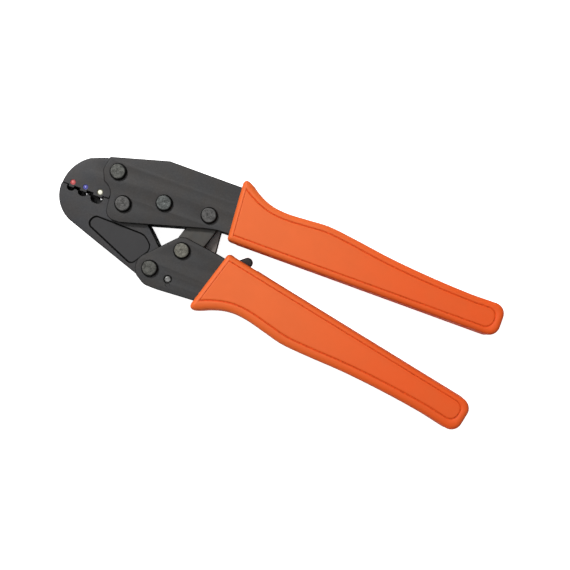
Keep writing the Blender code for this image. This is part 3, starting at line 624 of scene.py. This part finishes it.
def rounded_plate(name, loops, low, high, edge):
    """A flat piece with holes, and a rounded edge along every outline on both faces."""
    curve = bpy.data.curves.new(name, "CURVE")
    curve.dimensions = "2D"
    curve.fill_mode = "BOTH"
    curve.extrude = ((high - low) / 2.0 - edge) * MM
    curve.bevel_depth = edge * MM
    curve.offset = -edge * MM
    curve.bevel_resolution = 3
    for loop in loops:
        spline = curve.splines.new("POLY")
        spline.points.add(len(loop) - 1)
        for point, (x, y) in zip(spline.points, loop):
            point.co = (x * MM, y * MM, 0.0, 1.0)
        spline.use_cyclic_u = True
    drawing = add_object(name, curve)
    drawing.location.z = (low + high) / 2.0 * MM
    bpy.context.view_layer.update()
    graph = bpy.context.evaluated_depsgraph_get()
    mesh = bpy.data.meshes.new_from_object(drawing.evaluated_get(graph))
    mesh.transform(drawing.matrix_world)
    bpy.data.objects.remove(drawing)
    bpy.data.curves.remove(curve)
    weld = bmesh.new()
    weld.from_mesh(mesh)
    bmesh.ops.remove_doubles(weld, verts=weld.verts, dist=1e-6)
    bmesh.ops.dissolve_degenerate(weld, edges=weld.edges, dist=1e-7)
    bmesh.ops.recalc_face_normals(weld, faces=weld.faces)
    weld.to_mesh(mesh)
    weld.free()
    return mesh


def add_plate(node, name, material, body, edge):
    """A stamped plate with broken edges, in its CAD node's place and outline."""
    low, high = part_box(node)
    loops = [refined(loop) for loop in level_loops(node, high.z / MM)]
    mesh = rounded_plate(name, loops, low.z / MM, high.z / MM, edge)
    return new_piece(name, mesh, material, body, "oxide_steel", node)


def closed_lands(loop):
    """A jaw's outline with its die lands moved to where the closed jaws meet."""
    return [(x, math.copysign(CLOSED_LAND, y) if abs(abs(y) - LAND) < LAND_SLACK else y)
            for x, y in loop]


def dips(loop):
    """The dies in a jaw's outline: each nest's or punch's points, in order, from the nose."""
    runs = []
    for x, y in loop:
        if not (DIE_ZONE[0] < x < DIE_ZONE[1] and -DIE_REACH < y < -LAND - HAIR):
            continue
        if runs and abs(runs[-1][-1][0] - x) < DIE_SPREAD:
            runs[-1].append((x, y))
        else:
            runs.append([(x, y)])
    return sorted(runs)


def add_lower_jaw(material):
    """The moving jaw: nests that widen in front, and a drafted pocket in each face."""
    low, high = (corner.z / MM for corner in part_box("moving_jaw"))
    front, rear = level_loops("moving_jaw", high), level_loops("moving_jaw", low)
    pocket = refined(level_loops("moving_jaw", high - POCKET_DEPTH)[0])
    outline = [refined(closed_lands(rear[0]))] + [refined(hole) for hole in rear[2:]]
    mesh = rounded_plate("lower_jaw", outline, low, high, JAW_EDGE)
    piece = new_piece("lower_jaw", mesh, material, "jaw", "jaw_steel", "moving_jaw")
    for run in dips(front[0]):
        nest = refined(anticlockwise([(run[0][0], CUT_PAST)] + run + [(run[-1][0], CUT_PAST)]))
        levels = [(DIE_STEP, nest)]
        for turn in range(0, 91, 15):
            drop, out = 1.0 - math.sin(math.radians(turn)), 1.0 - math.cos(math.radians(turn))
            levels.append((high - NEST_EDGE * drop, grown(nest, NEST_EDGE * out)))
        levels.append((high + CUT_OVER, grown(nest, NEST_EDGE)))
        cut(piece, stack("nest", levels))
    wide = grown(pocket, POCKET_DRAFT * (1.0 - POCKET_SHARE + CUT_OVER / POCKET_DEPTH))
    narrow = grown(pocket, -POCKET_DRAFT * POCKET_SHARE)
    cut(piece, stack("pocket", [(high - POCKET_DEPTH, narrow), (high + CUT_OVER, wide)]))
    cut(piece, stack("pocket", [(low - CUT_OVER, wide), (low + POCKET_DEPTH, narrow)]))
    return piece


def add_upper_jaw(material):
    """The fixed jaw: punches that are narrower behind, and a pit for each size mark."""
    low, high = (corner.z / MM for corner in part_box("fixed_jaw"))
    front, rear = level_loops("fixed_jaw", high), level_loops("fixed_jaw", low)
    outline = [refined(closed_lands(front[0]))] + [refined(hole) for hole in front[1:3]]
    mesh = rounded_plate("upper_jaw", outline, low, high, JAW_EDGE)
    piece = new_piece("upper_jaw", mesh, material, "frame", "jaw_steel", "fixed_jaw")
    for wide, narrow in zip(dips(front[0]), dips(rear[0])):
        for pick, away in ((min, -RELIEF_OVER), (max, RELIEF_OVER)):
            inner, outer = pick(narrow)[0], pick(wide)[0] + away
            floor, roof = -RELIEF_DEPTH, CLOSED_LAND + HAIR
            relief = [(inner, floor), (outer, floor), (outer, roof), (inner, roof)]
            cut(piece, prism("relief", relief, low - CUT_PAST, DIE_STEP + CUT_OVER))
    for _, centre, radius, *_ in MARKS:
        angles = [2.0 * math.pi * i / MARK_STEPS for i in range(MARK_STEPS)]
        pit = [(centre[0] + radius * math.cos(a), centre[1] + radius * math.sin(a)) for a in angles]
        cut(piece, prism("pit", pit, high - MARK_DEPTH, high + CUT_PAST))
    return piece


def turned_mesh(name, centre, profile, steps=72):
    """A turned shape on an axis along Z, from a profile of (radius, z) from top to bottom."""
    work = bmesh.new()
    rings = []
    for radius, z in profile:
        if radius < 1e-6:
            rings.append([work.verts.new((centre[0] * MM, centre[1] * MM, z * MM))])
            continue
        ring = []
        for i in range(steps):
            angle = 2.0 * math.pi * i / steps
            ring.append(work.verts.new(((centre[0] + radius * math.cos(angle)) * MM,
                                        (centre[1] + radius * math.sin(angle)) * MM, z * MM)))
        rings.append(ring)
    for upper, lower in zip(rings, rings[1:]):
        for i in range(steps):
            j = (i + 1) % steps
            if len(upper) == 1:
                work.faces.new((upper[0], lower[i], lower[j]))
            elif len(lower) == 1:
                work.faces.new((upper[i], lower[0], upper[j]))
            else:
                work.faces.new((upper[i], lower[i], lower[j], upper[j]))
    return finished_mesh(name, work)


def centre_of(node):
    """The middle of a CAD node's box, as (x, y)."""
    low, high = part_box(node)
    return ((low.x + high.x) / 2.0 / MM, (low.y + high.y) / 2.0 / MM)


def add_lever(material):
    """The pawl and thumb lever, with the post that the spring hooks on."""
    low, high = (corner.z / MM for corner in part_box("pawl_release_lever"))
    body_high = 2.0 * MIDDLE - low
    post = level_loops("pawl_release_lever", high)[0]
    loops = [refined(loop) for loop in level_loops("pawl_release_lever", low)]
    mesh = rounded_plate("release_lever", loops, low, body_high, LEVER_EDGE)
    piece = new_piece("release_lever", mesh, material, "pawl", "oxide_steel", "pawl_release_lever")
    cut(piece, rounded_plate("post", [refined(post)], body_high - CUT_PAST, high, POST_EDGE), "UNION")
    return piece


# ---- Rivets and pins ------------------------------------------------------------------------
def peened_head(radius, top):
    """The head's profile from its middle to the shank: dished, nearly flat, chamfered."""
    dish = []
    for i in range(9):
        share = i / 8.0
        dish.append((PEEN_RADIUS * share, top - PEEN_DEPTH * (1.0 - share * share) ** 2))
    flat_edge = radius - HEAD_CHAMFER
    crown = [(PEEN_RADIUS + (flat_edge - PEEN_RADIUS) * i / 8.0, top - 0.05 * (i / 8.0) ** 3)
             for i in range(1, 9)]
    rim = [(flat_edge + 0.22, top - 0.14), (radius - RIM_STEP, top - HEAD_CHAMFER + RIM_STEP),
           (radius, top - HEAD_CHAMFER - 0.12), (radius, top - HEAD_HEIGHT + 0.08),
           (radius - 0.08, top - HEAD_HEIGHT)]
    return dish + crown + rim


def add_rivet(node, name, body, tint, seed):
    """A rivet with peened heads, a little uneven as riveting leaves them."""
    low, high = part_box(node)
    centre = centre_of(node)
    radius = (high.x - low.x) / 2.0 / MM
    top = high.z / MM
    front = peened_head(radius, top)
    rear = [(r, top - z) for r, z in reversed(front)]
    mesh = turned_mesh(name, centre, front + [(SHANK_RADIUS, top - HEAD_HEIGHT),
                                              (SHANK_RADIUS, HEAD_HEIGHT)] + rear)
    flat_edge = radius - HEAD_CHAMFER
    for vertex in mesh.vertices:
        away = Vector((vertex.co.x / MM - centre[0], vertex.co.y / MM - centre[1]))
        if HEAD_ZONE < vertex.co.z / MM < top - HEAD_ZONE:
            continue
        share = min(1.0, max(0.0, (radius - RIM_STEP - away.length) / HEAD_CHAMFER))
        vertex.co.x += HEAD_SHIFT[0] * share * MM
        vertex.co.y += HEAD_SHIFT[1] * share * MM
        if away.length < flat_edge - RIM_STEP:
            lump = noise.noise(Vector((away.x * LUMP_PACE, away.y * LUMP_PACE, seed * 7.0)))
            outward = 1.0 if vertex.co.z > MIDDLE * MM else -1.0
            fade = min(1.0, (flat_edge - RIM_STEP - away.length) / DENT_FADE)
            vertex.co.z -= outward * (HEAD_DENT + HEAD_LUMP * lump) * fade * MM
    material = rivet_steel(name + "_steel", centre, tint)
    return new_piece(name, mesh, material, body, "rivet_steel", node)


def add_pin(node, name, body, material):
    """A plain pin with slightly dished, chamfered ends."""
    low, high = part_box(node)
    centre = centre_of(node)
    radius = (high.x - low.x) / 2.0 / MM
    top, foot = high.z / MM, low.z / MM
    end = [(0.0, top - 0.06), (radius * 0.4, top - 0.03), (radius - 2.0 * PIN_CHAMFER, top),
           (radius - PIN_CHAMFER, top - PIN_CROWN), (radius, top - PIN_CROWN - PIN_CHAMFER)]
    back = [(r, foot + (top - z)) for r, z in reversed(end)]
    mesh = turned_mesh(name, centre, end + back, 48)
    return new_piece(name, mesh, material, body, "bright_steel", node)


def stake_dish(top):
    """A cutter for the oval dish that a punch left: its radii are shares of the dish's own."""
    profile = [(0.0, top + 0.5), (1.15, top + 0.5), (1.15, top + 0.02), (1.0, top)]
    for reach, sunk in ((0.8, 0.5), (0.5, 0.85), (0.0, 1.0)):
        profile.append((reach, top - STAKE_DEPTH * sunk))
    mesh = turned_mesh("stake", (0.0, 0.0), profile, 32)
    for vertex in mesh.vertices:
        vertex.co.x = STAKE_MARK[0] * MM + vertex.co.x * STAKE_HALF[0]
        vertex.co.y = STAKE_MARK[1] * MM + vertex.co.y * STAKE_HALF[1]
    return mesh


# ---- Sleeves --------------------------------------------------------------------------------
def grip_side(grip, along):
    """The sleeve's width at a distance along it, on a smooth curve through knots."""
    knots = [(u, v + grip["swell"]) for u, v in GRIP_SIDE]
    i = max(k for k in range(len(knots) - 1) if k == 0 or knots[k][0] <= along)
    (x0, y0), (x1, y1) = knots[i], knots[i + 1]

    def slope(k):
        low, high = knots[max(k - 1, 0)], knots[min(k + 1, len(knots) - 1)]
        return (high[1] - low[1]) / (high[0] - low[0])

    span = x1 - x0
    t = (along - x0) / span
    rise = (y1 - y0) * t * t * (3.0 - 2.0 * t)
    return y0 + rise + span * t * (1.0 - t) * ((1.0 - t) * slope(i) - t * slope(i + 1))


def on_grip(grip, along, across):
    """A point given from the grip's front inner corner, along it and outward across it."""
    angle = math.radians(grip["angle"])
    x = grip["origin"][0] + along * math.cos(angle) - grip["side"] * across * math.sin(angle)
    y = grip["origin"][1] + along * math.sin(angle) + grip["side"] * across * math.cos(angle)
    return (x, y)


def side_point(grip, along, inset):
    """A point on the outer side, moved in square to the side's curve."""
    small = 0.05
    slope = (grip_side(grip, along + small) - grip_side(grip, along - small)) / (2.0 * small)
    length = math.hypot(1.0, slope)
    return (along + inset * slope / length, grip_side(grip, along) - inset / length)


def corner_arc(centre, radius, start, end, count):
    """Points on an arc between two angles in degrees, both ends included."""
    return [(centre[0] + radius * math.cos(math.radians(start + (end - start) * i / count)),
             centre[1] + radius * math.sin(math.radians(start + (end - start) * i / count)))
            for i in range(count + 1)]


def bow(first, corner, last, count):
    """Points on the curve that rounds a corner, after the first and up to the last."""
    spots = []
    for i in range(1, count + 1):
        t = i / count
        spots.append(tuple((1 - t) ** 2 * a + 2 * t * (1 - t) * b + t * t * c
                           for a, b, c in zip(first, corner, last)))
    return spots


def evenly(first, last, count):
    """Points that part a line from first to last evenly, without its ends."""
    return [(first[0] + (last[0] - first[0]) * i / count, first[1] + (last[1] - first[1]) * i / count)
            for i in range(1, count)]


def crossing(outer_point, front_point):
    """How far along a sleeve its outer side's line meets its front's, by halving."""
    low, high = -4.0, 20.0
    for _ in range(40):
        middle = (low + high) / 2.0
        along, across = outer_point(middle)
        if along < front_point(across)[0]:
            low = middle
        else:
            high = middle
    return high


def sleeve_loop(grip, inset, groove):
    """The sleeve's outline, inset. Groove is 1 for the groove's own line and 0 for the outline's.

    Every loop has the same number of points. It runs from the front's inner corner along the
    inner edge, round the end, back along the outer side to the horn, and down the front.
    """
    inner_front, outer_front = grip["front"]
    lean = Vector((outer_front - inner_front, grip_side(grip, 0.0))).normalized()
    front_inset = inset + groove * GROOVE_FRONT
    inner_margin, outer_margin = grip["margin"]
    inner_inset = inset * inner_margin

    def front_point(across):
        run = (across + lean.x * front_inset) / lean.y
        return (inner_front + lean.y * front_inset + lean.x * run, across)

    def outer_point(along):
        share = max(0.0, 1.0 - along / HORN_REACH)
        return side_point(grip, along, inset * outer_margin + groove * grip["horn"] * share * share)

    radius = max(FRONT_CORNER - inset, SHARPEST)
    corner = front_point(inner_inset)
    front_foot = front_point(inner_inset + radius)
    loop = bow(front_foot, corner, (corner[0] + radius, inner_inset), CORNER_STEPS)
    end = GRIP_LENGTH - inset - groove * GROOVE_END
    outer = grip_side(grip, GRIP_LENGTH - END_CORNER) - inset * outer_margin
    round_end = (outer - inner_inset) / 2.0 * GROOVE_ROUND
    end_radius = groove * round_end + (1.0 - groove) * max(END_CORNER - inset, LEAST_END_CORNER)
    bend = end - end_radius
    loop += evenly(loop[-1], (bend, inner_inset), INNER_STEPS)
    loop += corner_arc((bend, inner_inset + end_radius), end_radius, 270.0, 360.0, END_STEPS)
    loop += corner_arc((bend, outer - end_radius), end_radius, 0.0, 90.0, END_STEPS)
    tip_along = crossing(outer_point, front_point)
    tip = outer_point(tip_along)
    horn = max(HORN_CORNER - inset, SHARPEST) * HORN_BOW
    side = tip_along + horn - bend
    loop += [outer_point(bend + side * i / SIDE_STEPS) for i in range(1, SIDE_STEPS + 1)]
    loop += bow(loop[-1], tip, front_point(tip[1] - horn), CORNER_STEPS)
    loop += evenly(loop[-1], front_foot, FRONT_STEPS)
    return [on_grip(grip, u, v) for u, v in loop]


def sleeve_profile():
    """From the face's panel to the middle of the side: (inset, depth, groove's share)."""
    outer_lip = GROOVE_INSET - GROOVE_HALF
    inner_lip = GROOVE_INSET + GROOVE_HALF
    steps = [
        (inner_lip + 0.45, 0.0, 1.0),
        (inner_lip + 0.05, 0.01, 1.0),
        (inner_lip - 0.04, 0.07, 1.0),
        (GROOVE_INSET + 0.08, GROOVE_DEPTH, 1.0),
        (GROOVE_INSET - 0.08, GROOVE_DEPTH, 1.0),
        (outer_lip + 0.04, 0.07, 1.0),
        (outer_lip - 0.05, 0.01, 1.0),
    ]
    for i in range(9):
        angle = math.radians(90.0 - 90.0 * i / 8.0)
        inset, depth = 1.0 - math.cos(angle), 1.0 - math.sin(angle)
        steps.append((SLEEVE_ROUNDING * inset, SLEEVE_ROUNDING * depth, 0.0))
    steps.append((-SLEEVE_DRAFT, MIDDLE - SEAM_FOOT, 0.0))
    steps.append((-SLEEVE_DRAFT - SEAM_HEIGHT, MIDDLE - SEAM_CREST, 0.0))
    return steps


def cavity_loop(grip):
    """The space inside a sleeve, open at its slanting front."""
    inner = TANG_INSET - TANG_GAP
    mouth = grip["front"][1] - CUT_PAST
    outer = [(u, min(grip_side(grip, u) - SLEEVE_WALL, MOUTH)) for u in CAVITY]
    local = [(mouth, inner), (CAVITY[0], inner)] + outer + [(mouth, MOUTH - mouth * MOUTH_FLARE)]
    return [on_grip(grip, u, v) for u, v in local]


def add_sleeve(node, grip, material, groove):
    """A moulded sleeve: rounded rim, sunk groove round each face, mould seam and open mouth."""
    profile = sleeve_profile()
    levels = [(inset, TOP - depth, share) for inset, depth, share in profile]
    levels += [(inset, TOP - z, share) for inset, z, share in reversed(levels)]
    work = bmesh.new()
    rings = []
    for inset, z, share in levels:
        loop = sleeve_loop(grip, inset, share)
        rings.append([work.verts.new((x * MM, y * MM, z * MM)) for x, y in loop])
    count = len(rings[0])
    last = len(rings) - 2
    for band, (upper, lower) in enumerate(zip(rings, rings[1:])):
        for i in range(count):
            j = (i + 1) % count
            face = work.faces.new((upper[i], upper[j], lower[j], lower[i]))
            face.material_index = 1 if min(band, last - band) in GROOVE_BANDS else 0
    work.faces.new(rings[0][::-1])
    work.faces.new(rings[-1])
    mesh = finished_mesh(grip["piece"], work)
    indices = [face.material_index for face in mesh.polygons]
    piece = new_piece(grip["piece"], mesh, material, grip["body"], "grip_plastic", node)
    piece.data.materials.append(groove)
    piece.data.polygons.foreach_set("material_index", indices)
    cut(piece, prism("cavity", cavity_loop(grip), SLEEVE_FACE_WALL, TOP - SLEEVE_FACE_WALL))
    start, end, depth = grip["slot"]
    corners = ((start, -SLOT_PAST), (end, -SLOT_PAST), (end, depth), (start, depth))
    slot_loop = [on_grip(grip, u, v) for u, v in corners]
    cut(piece, prism("slot", slot_loop, MIDDLE - SLOT_HALF, MIDDLE + SLOT_HALF))
    piece.data.set_sharp_from_angle(angle=math.radians(SLEEVE_SHARP_ANGLE))
    return piece


# ---- Size marks -----------------------------------------------------------------------------
def add_mark(name, centre, radius, share, rim, middle):
    """A dab of paint in the pit beside a nest: a low dome with a meniscus at the wall."""
    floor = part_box("fixed_jaw")[1].z / MM - MARK_DEPTH + MARK_FLOOR
    edge = radius - MARK_GAP
    dome = ((0.0, 0.27), (0.25, 0.26), (0.5, 0.22), (0.68, 0.17), (0.85, 0.17), (0.98, 0.21), (1.0, 0.0))
    profile = [(edge * reach, floor + height) for reach, height in dome]
    material = mark_paint(name + "_paint", (*centre, floor + 0.2), radius * share, rim, middle)
    mesh = turned_mesh(name, centre, profile + [(0.0, floor)], MARK_STEPS)
    return new_piece(name, mesh, material, "frame", "jaw_steel")


# ---- The tool -------------------------------------------------------------------------------
def build_tool():
    """Every visible piece of the tool, and a material on the CAD nodes that stay in sight."""
    plate = oxide_steel("plate_oxide", PLATE_COLOUR)
    jaw = oxide_steel("jaw_oxide", JAW_COLOUR, rough=0.48, sunk=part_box("moving_jaw")[1].z / MM)
    link = oxide_steel("link_oxide", PLATE_COLOUR, LINK_TINT, 0.52)
    # paler steel with painted light against the shade among the plates
    ratchet = oxide_steel("ratchet_oxide", PLATE_COLOUR, RATCHET_STEEL_AND_LIGHT_TINT, 0.5)
    spring = bright_steel("spring_steel", SPRING_COLOUR)
    pin = bright_steel("pin_steel", PIN_COLOUR, 0.42)
    # painted shade: the lever's darker oxide stands for the shade deep between the plates
    lever = oxide_steel("lever_shaded_oxide", LEVER_SHADED_COLOUR)
    plastic = sleeve_plastic("sleeve_plastic")
    groove = groove_shade_plastic("sleeve_groove_shade")

    for side in ("front", "rear"):
        add_plate("frame_plate_" + side, side + "_frame_plate", plate, "frame", PLATE_EDGE)
        handle = add_plate("handle_plate_" + side, side + "_handle_plate", plate, "handle", PLATE_EDGE)
        if side == "front":
            cut(handle, stake_dish(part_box("handle_plate_front")[1].z / MM))
        add_plate("link_plate_" + side, side + "_link_plate", link, "link", PLATE_EDGE)
    add_upper_jaw(jaw)
    add_lower_jaw(jaw)
    add_plate("ratchet_plate", "toothed_plate", ratchet, "link", RATCHET_EDGE)
    add_lever(lever)

    for seed, (node, name, body, tint) in enumerate(RIVETS):
        add_rivet(node, name, body, tint, seed)
    add_pin("spring_anchor_pin", "spring_pin", "handle", pin)
    add_pin("pawl_pivot_pin", "pawl_pin", "handle", pin)

    for node, grip in GRIPS.items():
        add_sleeve(node, grip, plastic, groove)
    for name, *look in MARKS:
        add_mark(name + "_mark", *look)
    for node in ("upper_tang_standoff", "lower_tang_standoff", "pawl_spring"):
        piece = NODES[node]
        piece.data.materials.clear()
        piece.data.materials.append(spring)


# ---- Studio ---------------------------------------------------------------------------------
def paper(name, colour, glow):
    """White paper, which can be lit so well that it looks blank."""
    nodes = Nodes(name)
    nodes.shade("Base Color", colour)
    nodes.shade("Roughness", 0.9)
    nodes.shade("Specular IOR Level", 0.1)
    nodes.shade("Emission Color", WHITE)
    nodes.shade("Emission Strength", glow)
    return nodes.material


def add_stage_piece(name, profile, material):
    """A turned piece of the studio, centred on the frame's origin, that casts no shadow."""
    mesh = turned_mesh(name, (0.0, 0.0), profile, 96)
    mesh.shade_smooth()
    mesh.materials.append(material)
    piece = add_object(name, mesh)
    piece.visible_shadow = False
    return piece


def add_floor():
    """A blank floor and far wall for the camera, and a plain paper floor that lights the tool."""
    blank = paper("pale_floor", FLOOR_COLOUR, FLOOR_GLOW)
    floor = add_stage_piece("floor", [(FLOOR_RADIUS, 0.0), (0.0, 0.0)], blank)
    wall = add_stage_piece("far_wall", [(FLOOR_RADIUS, WALL_HEIGHT), (FLOOR_RADIUS, 0.0)], blank)
    for piece in (floor, wall):
        piece.visible_diffuse = False
        piece.visible_glossy = False
    plain = paper("plain_paper", BOUNCE_COLOUR, 0.0)
    bounce = add_stage_piece("bounce_floor", [(FLOOR_RADIUS, -BOUNCE_DEPTH), (0.0, -BOUNCE_DEPTH)], plain)
    bounce.visible_camera = False


def add_softbox(name, place, aim, size, power):
    """A round soft light that the camera doesn't see."""
    light = bpy.data.lights.new(name, "AREA")
    light.shape = "DISK"
    light.size = size
    light.energy = power
    lamp = add_object(name, light)
    lamp.location = place
    lamp.rotation_euler = (Vector(aim) - Vector(place)).to_track_quat("-Z", "Y").to_euler()
    lamp.visible_camera = False


def add_studio():
    """A pale floor, a big soft key from the jaws' upper side, and a weaker fill overhead."""
    add_floor()
    middle = (CAD_LOW + CAD_HIGH) / 2.0
    for name, (x, y, height), size, power in LIGHTS:
        add_softbox(name, (middle.x + x, middle.y + y, height), middle, size, power)
    world = bpy.data.worlds.new("studio")
    world.use_nodes = True
    background = world.node_tree.nodes["Background"]
    background.inputs["Color"].default_value = (*WHITE, 1.0)
    background.inputs["Strength"].default_value = WORLD_STRENGTH
    bpy.context.scene.world = world
    bpy.context.scene.view_settings.view_transform = "Standard"


def add_camera():
    """Straight above the front face, with the tool's length turned 20 degrees in the frame."""
    data = bpy.data.cameras.new("camera")
    data.angle = 2.0 * math.atan(HALF_VIEW / VIEW_DISTANCE)
    data.clip_start = 0.01
    camera = add_object("camera", data)
    camera.location = CAMERA_PLACE
    camera.rotation_euler = (0.0, 0.0, math.radians(CAMERA_TURN))
    bpy.context.scene.camera = camera


build_tool()
add_studio()
add_camera()
